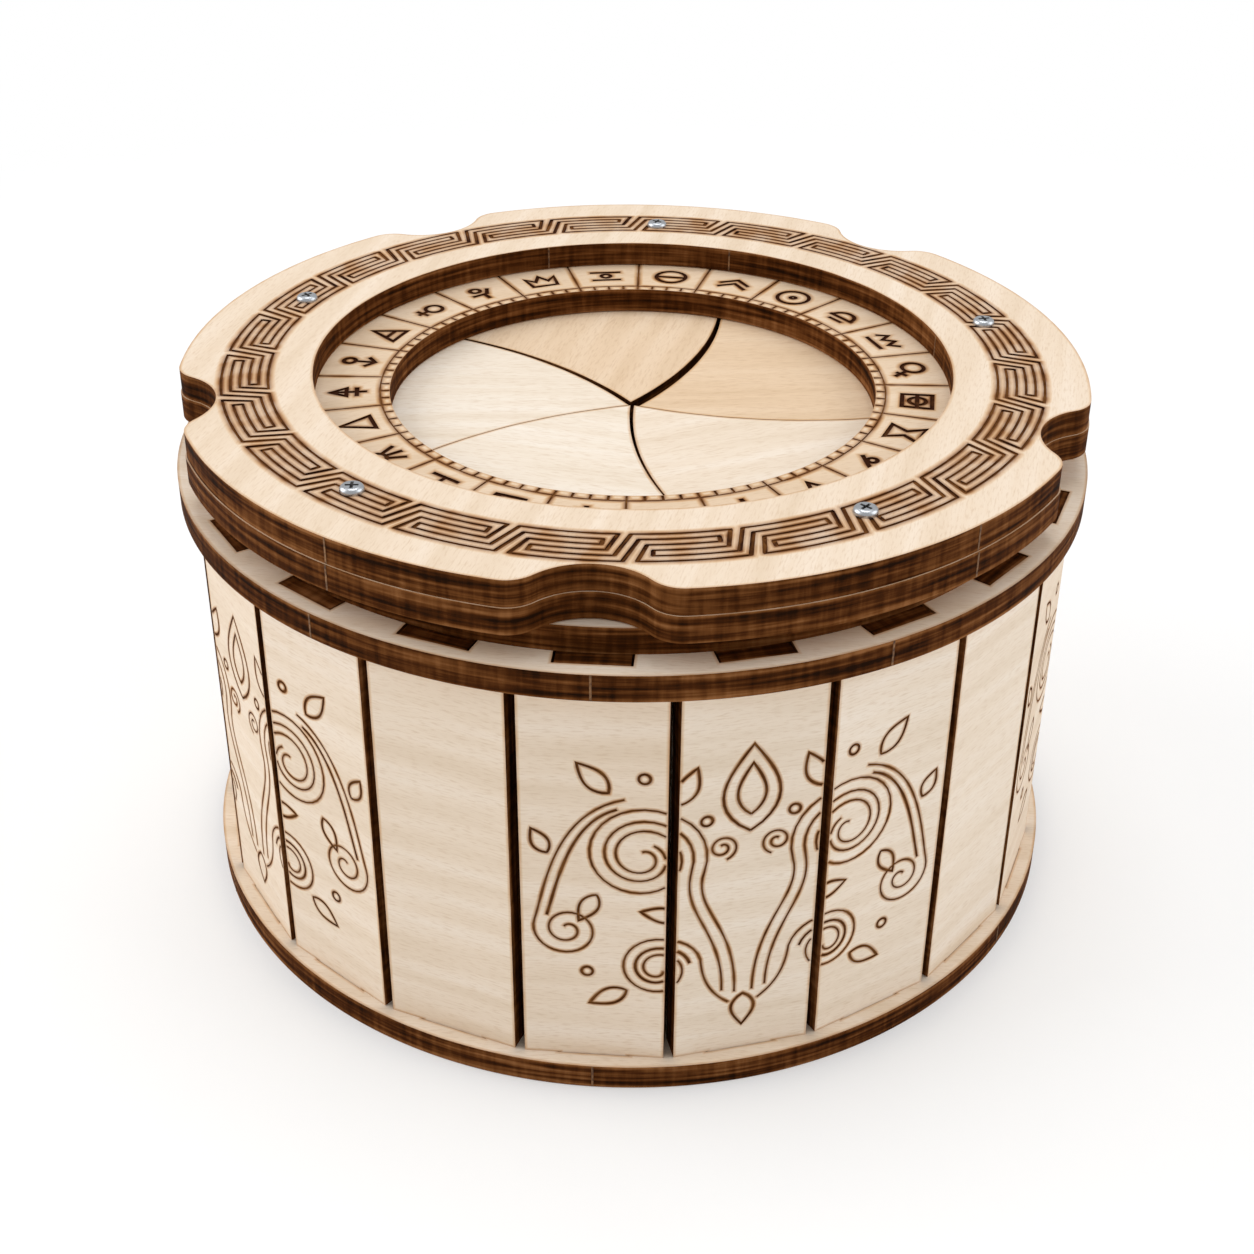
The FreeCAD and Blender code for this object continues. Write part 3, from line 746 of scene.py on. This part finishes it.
punched = bpy.data.meshes.new_from_object(screws.evaluated_get(bpy.context.evaluated_depsgraph_get()))
screws.modifiers.clear()
screws.data = punched
screws.name = "pivot_screws_steel"
punched.name = "pivot_screws_steel"
bpy.data.objects.remove(recess)
punched.shade_smooth()
punched.set_sharp_from_angle(angle=SHARP_ANGLE)
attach(screws, "lid")
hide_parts("pivot_screws")
for material_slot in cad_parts["pivot_nuts"].material_slots:
    material_slot.material = zinc_steel

# Dial ring
# Loose plywood ring that lies in the recess of the lid and can be turned with a finger.
# It is laser-cut, with 24 cells of burnt signs and a fine tick scale round its opening.
DIAL_LOW, DIAL_HIGH = SPACER_HIGH, SPACER_HIGH + PLY
DIAL_HOLE, DIAL_OUTER = 38.0, 52.6
DIAL_DEPTH, DIAL_HALO = 0.22, 0.75
DIAL_GRAIN, DIAL_TONE = math.radians(20.0), 0.15
CELL_COUNT = 24
CELL_PITCH = 2 * math.pi / CELL_COUNT
FIRST_CELL = math.radians(3.0)
CELL_LINE = 0.28
INNER_MARGIN, OUTER_MARGIN = 0.15, 0.2
TICKS_PER_CELL = 4
TICK_LINE, TICK_OVERLAP = 0.36, 0.1
TICK_CIRCLE, TICK_CIRCLE_LINE, TICK_CIRCLE_STEPS = 39.5, 0.22, 192
SIGN_RADIUS, SIGN_SIZE, SIGN_LINE = 44.4, 2.9, 0.66
FIRST_SIGN, SIGN_STRIDE = 3, 7
ROUND_STEPS, HALF_ROUND_STEPS = 22, 12


def round_at(x, y, radius):
    return (ring(radius, ROUND_STEPS, (x, y)), True)


def path(*points):
    return (list(points), False)


def shape(*points):
    return (list(points), True)


# Plain signs, each drawn in a square from -1 to 1, with its top towards the rim
SIGNS = [
    [round_at(0, 0, 0.95), round_at(0, 0, 0.16)],
    [shape((-0.85, -0.8), (0.85, -0.8), (0, 0.95)), path((-0.55, -0.2), (0.55, -0.2))],
    [round_at(0, 0.4, 0.55), path((0, -0.15), (0, -1)), path((-0.45, -0.6), (0.45, -0.6))],
    [round_at(-0.25, 0.25, 0.6), path((0.15, -0.2), (0.8, -0.95)), path((0.75, -0.3), (0.25, -0.8))],
    [shape((-0.8, -0.7), (-0.9, 0.6), (-0.4, 0), (0, 0.8), (0.4, 0), (0.9, 0.6), (0.8, -0.7))],
    [round_at(0, 0.45, 0.45), path((0, 0), (0, -0.95)), path((-0.3, 0.05), (-0.75, -0.8)),
     path((0.3, 0.05), (0.75, -0.8))],
    [path((-0.5, -0.9), (0.5, 0.2), (-0.2, 0.9)), round_at(-0.3, -0.2, 0.25)],
    [path((-0.9, 0), (0, 0.7), (0.9, 0)), path((-0.9, -0.6), (0, 0.1), (0.9, -0.6))],
    [path((0, -0.9), (0, 0.2)), round_at(0, 0.55, 0.33), path((-0.6, -0.4), (0, -0.9), (0.6, -0.4))],
    [round_at(-0.6, 0, 0.36), round_at(0.6, 0, 0.36), path((-0.24, 0), (0.24, 0)), path((0, 0.7), (0, -0.7))],
    [path((-0.95, 0), (-0.6, 0.6), (-0.2, 0), (0.2, 0.6), (0.6, 0), (0.95, 0.6)),
     path((-0.95, -0.6), (0.95, -0.6))],
    [path((-0.8, -0.2), (0.2, -0.2), (0.6, 0.5)), round_at(-0.2, 0.5, 0.3), path((0, -0.2), (0, -0.9))],
    [path((-0.9, -0.7), (0.9, -0.7)), path((-0.7, 0.1), (0.7, 0.1)), path((0, -0.7), (0, 0.9)),
     path((-0.4, 0.6), (0.4, 0.6))],
    [shape((-0.8, 0.9), (0.8, 0.9), (0.25, 0), (0.8, -0.9), (-0.8, -0.9), (-0.25, 0))],
    [round_at(0, 0, 0.9), path((-0.9, 0), (0.9, 0))],
    [path((0, -1), (0, 0.9)), shape((-0.5, 0.1), (0, 0.95), (0.5, 0.1)), path((-0.55, -0.45), (0.55, -0.45))],
    [path((-0.8, 0.8), (-0.8, 0), (0, -0.4), (0.8, 0), (0.8, 0.8)), path((0, 0.9), (0, -1))],
    [path(*arc((0.0, -0.2), 0.75, 0.0, math.pi, HALF_ROUND_STEPS)), path((-0.95, -0.2), (0.95, -0.2)),
     path((-0.55, -0.7), (0.55, -0.7))],
    [round_at(0.35, 0, 0.5), path((-0.15, 0), (-0.95, 0)), path((-0.6, 0.45), (-0.6, -0.45))],
    [shape((-0.8, -0.8), (0.8, -0.8), (0.8, 0.8), (-0.8, 0.8)), path((-0.8, -0.8), (0.8, 0.8)),
     path((-0.8, 0.8), (0.8, -0.8))],
    [shape((-0.8, -0.8), (0.8, -0.8), (0.8, 0.8), (-0.8, 0.8)), round_at(0, 0, 0.45),
     path((-0.8, 0), (0.8, 0))],
    [path((-0.9, 0.6), (0.9, 0.6)), path((-0.9, -0.6), (0.9, -0.6)), round_at(0, 0, 0.28)],
    [shape((-0.8, -0.85), (0.8, -0.85), (0, 0.9))],
    [shape((-0.8, 0.85), (0.8, 0.85), (0, -0.9)), path((-0.9, 0.1), (-0.4, 0.1))],
]


def dial_lines():
    inner, outer = DIAL_HOLE + INNER_MARGIN, DIAL_OUTER - OUTER_MARGIN
    tick_end = TICK_CIRCLE + TICK_OVERLAP
    lines = [(ring(TICK_CIRCLE, TICK_CIRCLE_STEPS), TICK_CIRCLE_LINE, True)]
    for k in range(CELL_COUNT):
        edge = FIRST_CELL + k * CELL_PITCH
        lines.append(([polar(inner, edge), polar(outer, edge)], CELL_LINE, False))
        for tick in range(1, TICKS_PER_CELL):
            angle = edge + CELL_PITCH * tick / TICKS_PER_CELL
            lines.append(([polar(inner, angle), polar(tick_end, angle)], TICK_LINE, False))
        middle = edge + CELL_PITCH / 2
        for points, closed in SIGNS[(FIRST_SIGN + SIGN_STRIDE * k) % CELL_COUNT]:
            placed = [
                polar(SIGN_RADIUS + SIGN_SIZE * y, middle - SIGN_SIZE * x / SIGN_RADIUS) for x, y in points
            ]
            lines.append((placed, SIGN_LINE, closed))
    return lines


dial = cut_sheet(
    "dial_ring_ply", ring(DIAL_OUTER), [ring(DIAL_HOLE)], dial_lines(),
    low=DIAL_LOW, high=DIAL_HIGH, depth=DIAL_DEPTH, halo=DIAL_HALO, grain_turn=DIAL_GRAIN, tone=DIAL_TONE,
)
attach(dial, "dial")
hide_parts("dial_ring")

# Iris blades and drive pins
# Five plywood blades in one layer, each swinging on a screw, with arc edges that slide past each other.
# A beech dowel pressed into each blade runs in a slot of the flange.
BLADE_PLAY = 0.2
BLADE_LOW, BLADE_HIGH = FLANGE_HIGH + BLADE_PLAY, SPACER_HIGH - BLADE_PLAY
SEAM_RADIUS = 2 * PIVOT_RADIUS * math.sin(BLADE_PITCH / 2)
BLADE_LIMIT = 62.4
PIN_RADIUS = 1.2
BLADE_GRAIN = (10.0, 80.0, 5.0, -10.0, 25.0)
BLADE_TONE = (0.05, 0.1, 1.0, 1.0, 0.6)
LEAD_TRIM = (0.06, 0.95, 0.6, 0.06, 0.25)
TAIL_TRIM = 0.06
TAIL_TURN = (1.2, 0.35, 0.0, 0.35, 0.0)
SEAM_STEPS, SHUT_STEPS, OPENED_STEPS = 40, 12, 30


def meeting(first, first_radius, second, second_radius, side):
    # The point where two circles meet, on the left (1) or right (-1) of the line between their centres
    gap = Vector(second) - Vector(first)
    along = (first_radius ** 2 - second_radius ** 2 + gap.length ** 2) / (2 * gap.length)
    up = math.sqrt(max(0.0, first_radius ** 2 - along ** 2))
    unit = gap.normalized()
    return Vector(first) + unit * along + Vector((-unit.y, unit.x)) * up * side


def nearest(points, target):
    return min(points, key=lambda point: (point - target).length)


def arc_between(centre, start, end, turn, steps):
    # The arc round a centre from start to end, anticlockwise (1) or clockwise (-1)
    first = math.atan2(start[1] - centre[1], start[0] - centre[0])
    last = math.atan2(end[1] - centre[1], end[0] - centre[0])
    sweep = (last - first) * turn % (2 * math.pi) * turn
    radius = (Vector(start) - Vector(centre)).length
    return arc(centre, radius, first, first + sweep, steps)


def blade_outline(number):
    # From the tip along the leading seam, round the rim that shuts and opens, and back along the tail seam
    pivot_angle = FIRST_PIVOT + number * BLADE_PITCH
    here = Vector(polar(PIVOT_RADIUS, pivot_angle))
    before = Vector(polar(PIVOT_RADIUS, pivot_angle - BLADE_PITCH))
    after = Vector(polar(PIVOT_RADIUS, pivot_angle + BLADE_PITCH))
    lead, lead_radius = here - before, SEAM_RADIUS - LEAD_TRIM[number]
    tail = here + Matrix.Rotation(math.radians(TAIL_TURN[number]), 2) @ (after - here - here)
    tail_radius = SEAM_RADIUS + TAIL_TRIM
    opened = here - Matrix.Rotation(LID_TRAVEL, 2) @ here
    shut = Vector((0.0, 0.0))
    tip = nearest([meeting(lead, lead_radius, tail, tail_radius, side) for side in (1, -1)], shut)
    rim_start = nearest([meeting(lead, lead_radius, shut, BLADE_LIMIT, side) for side in (1, -1)], here)
    rim_turn = nearest([meeting(shut, BLADE_LIMIT, opened, BLADE_LIMIT, side) for side in (1, -1)], here)
    rim_end = nearest([meeting(tail, tail_radius, opened, BLADE_LIMIT, side) for side in (1, -1)], here)
    outline = arc_between(lead, tip, rim_start, 1, SEAM_STEPS)
    outline += arc_between(shut, rim_start, rim_turn, 1, SHUT_STEPS)[1:]
    outline += arc_between(opened, rim_turn, rim_end, 1, OPENED_STEPS)[1:]
    outline += arc_between(tail, rim_end, tip, -1, SEAM_STEPS)[1:-1]
    return outline


# Beech dowel: plain warm tan with soft fibres along its length
DOWEL_FIBRE_WIDTH, DOWEL_FIBRE_LENGTH = 1.111, 16.67
beech_dowel, shader = new_material("beech_dowel")
spot = add_node(beech_dowel, "ShaderNodeTexCoord").outputs["Object"]
across_dowel, along_dowel = 1 / (DOWEL_FIBRE_WIDTH * MM), 1 / (DOWEL_FIBRE_LENGTH * MM)
dowel_scale = add_node(beech_dowel, "ShaderNodeMapping", {0: spot},
                       in_Scale=(across_dowel, across_dowel, along_dowel))
fibres = add_node(beech_dowel, "ShaderNodeTexNoise", {0: dowel_scale.outputs[0]}, in_Scale=1.0, in_Detail=3.0)
dowel_tone = add_node(beech_dowel, "ShaderNodeValToRGB", {0: fibres.outputs[0]},
                      ((0.3, "#b78d5f"), (0.7, "#d6b388")))
beech_dowel.node_tree.links.new(dowel_tone.outputs[0], shader.inputs["Base Color"])
shader.inputs["Roughness"].default_value = 0.55
for k in range(BLADE_COUNT):
    pivot = FIRST_PIVOT + k * BLADE_PITCH
    eye = ring(SCREW_HOLE, HOLE_STEPS, polar(PIVOT_RADIUS, pivot))
    pin = polar(PIN_REACH, pivot + PIN_TURN, polar(PIVOT_RADIUS, pivot))
    blade = cut_sheet(
        "iris_blade_%d_ply" % (k + 1), blade_outline(k), [eye, ring(PIN_RADIUS, HOLE_STEPS, pin)],
        low=BLADE_LOW, high=BLADE_HIGH, grain_turn=math.radians(BLADE_GRAIN[k]), tone=BLADE_TONE[k],
    )
    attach(blade, "blade_%d" % (k + 1))
    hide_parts("iris_blade_%d" % (k + 1))
    for material_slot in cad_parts["drive_pin_%d" % (k + 1)].material_slots:
        material_slot.material = beech_dowel

# Floor, light and camera
# A white card on a table, under soft light from above and from both sides.
# The camera stands in front of the box and looks down on it at about 30 degrees. Lengths are in metres.
FLOOR_HALF, FLOOR_DROP = 6.0, 0.0002
# Share of painted white glow over the card for the camera: the least share by the box, all of it far off
FADE_START, FADE_END, LEAST_PAINTED_WHITE = 0.07, 0.4, 0.33
WORLD_STRENGTH, BACKDROP_STRENGTH = 0.55, 1.0
floor_bm = bmesh.new()
bmesh.ops.create_grid(floor_bm, x_segments=1, y_segments=1, size=FLOOR_HALF)
bmesh.ops.translate(floor_bm, vec=(0.0, 0.0, -FLOOR_DROP), verts=floor_bm.verts)
floor_data = bpy.data.meshes.new("floor")
floor_bm.to_mesh(floor_data)
floor_bm.free()
floor = bpy.data.objects.new("floor", floor_data)
bpy.context.scene.collection.objects.link(floor)

# White card: matt, with a soft shadow by the box that is painted lighter by white glow mixed in for the
# camera, and that fades to the plain white of a bright studio backdrop
white_card, shader = new_material("white_card")
shader.inputs["Base Color"].default_value = linear("#fdfdfd")
shader.inputs["Roughness"].default_value = 0.9
shader.inputs["Specular IOR Level"].default_value = 0.0
spot = add_node(white_card, "ShaderNodeTexCoord").outputs["Object"]
away = add_node(white_card, "ShaderNodeVectorMath", {0: spot}, operation="LENGTH")
far = add_node(white_card, "ShaderNodeMapRange", {0: away.outputs["Value"]},
               in_From_Min=FADE_START, in_From_Max=FADE_END, in_To_Min=LEAST_PAINTED_WHITE)
# Painted light: for camera rays only, white glow is mixed over the card's own shading, a third of it by the
# box, so the shadow there is painted lighter
seen = add_node(white_card, "ShaderNodeLightPath").outputs["Is Camera Ray"]
painted_white_share = add_node(white_card, "ShaderNodeMath", {0: far.outputs[0], 1: seen}, operation="MULTIPLY")
white = add_node(white_card, "ShaderNodeEmission", in_Color=(1.0, 1.0, 1.0, 1.0))
blended = add_node(white_card, "ShaderNodeMixShader",
                   {0: painted_white_share.outputs[0], 1: shader.outputs[0], 2: white.outputs[0]})
white_card.node_tree.links.new(blended.outputs[0], white_card.node_tree.nodes["Material Output"].inputs[0])
floor_data.materials.append(white_card)

world = bpy.data.worlds.new("studio")
bpy.context.scene.world = world
world.use_nodes = True
world.node_tree.nodes["Background"].inputs[0].default_value = (1.0, 1.0, 1.0, 1.0)
straight = add_node(world, "ShaderNodeLightPath").outputs["Is Camera Ray"]
strength = add_node(world, "ShaderNodeMapRange", {0: straight},
                    in_To_Min=WORLD_STRENGTH, in_To_Max=BACKDROP_STRENGTH)
world.node_tree.links.new(strength.outputs[0], world.node_tree.nodes["Background"].inputs[1])


def area_light(name, spot, aim, size, power):
    lamp = bpy.data.lights.new(name, "AREA")
    lamp.size = size
    lamp.energy = power
    holder = bpy.data.objects.new(name, lamp)
    holder.location = spot
    holder.rotation_euler = (Vector(aim) - Vector(spot)).to_track_quat("-Z", "Y").to_euler()
    bpy.context.scene.collection.objects.link(holder)


area_light("overhead", spot=(0.0, 0.35, 1.7), aim=(0.0, 0.1, 0.05), size=1.0, power=8.6)
area_light("left_side", spot=(-1.3, 0.0, 0.8), aim=(0.0, 0.0, 0.05), size=1.2, power=10.5)
area_light("right_side", spot=(1.3, 0.0, 0.8), aim=(0.0, 0.0, 0.05), size=1.2, power=6.5)

# The frame, the focal length and the middle row are in pixels of the photograph
FRAME = 1254.0
FOCAL_PIXELS = 1839.0
SENSOR = 36.0
NEAREST_SEEN = 0.01
LOOK_DOWN = math.radians(29.80)
DISTANCE = 303.7 * MM
AIM = Vector((-0.76, 0.0, 51.13)) * MM
ROLL = math.radians(0.37)
TURN = math.radians(4.27)
MIDDLE_ROW = 540.0
camera_data = bpy.data.cameras.new("camera")
camera_data.sensor_width = SENSOR
camera_data.lens = FOCAL_PIXELS / FRAME * SENSOR
camera_data.shift_y = (MIDDLE_ROW - FRAME / 2) / FRAME
camera_data.clip_start = NEAREST_SEEN
camera = bpy.data.objects.new("camera", camera_data)
back = Vector((0.0, -math.cos(LOOK_DOWN), math.sin(LOOK_DOWN)))
right = Vector((1.0, 0.0, 0.0))
up = back.cross(right)
rolled_right = right * math.cos(ROLL) + up * math.sin(ROLL)
rolled_up = up * math.cos(ROLL) - right * math.sin(ROLL)
facing = Matrix((rolled_right, rolled_up, back)).transposed().to_4x4()
facing.translation = AIM + back * DISTANCE
camera.matrix_world = Matrix.Rotation(TURN, 4, "Z") @ facing
bpy.context.scene.collection.objects.link(camera)
bpy.context.scene.camera = camera
bpy.context.scene.view_settings.view_transform = "Standard"
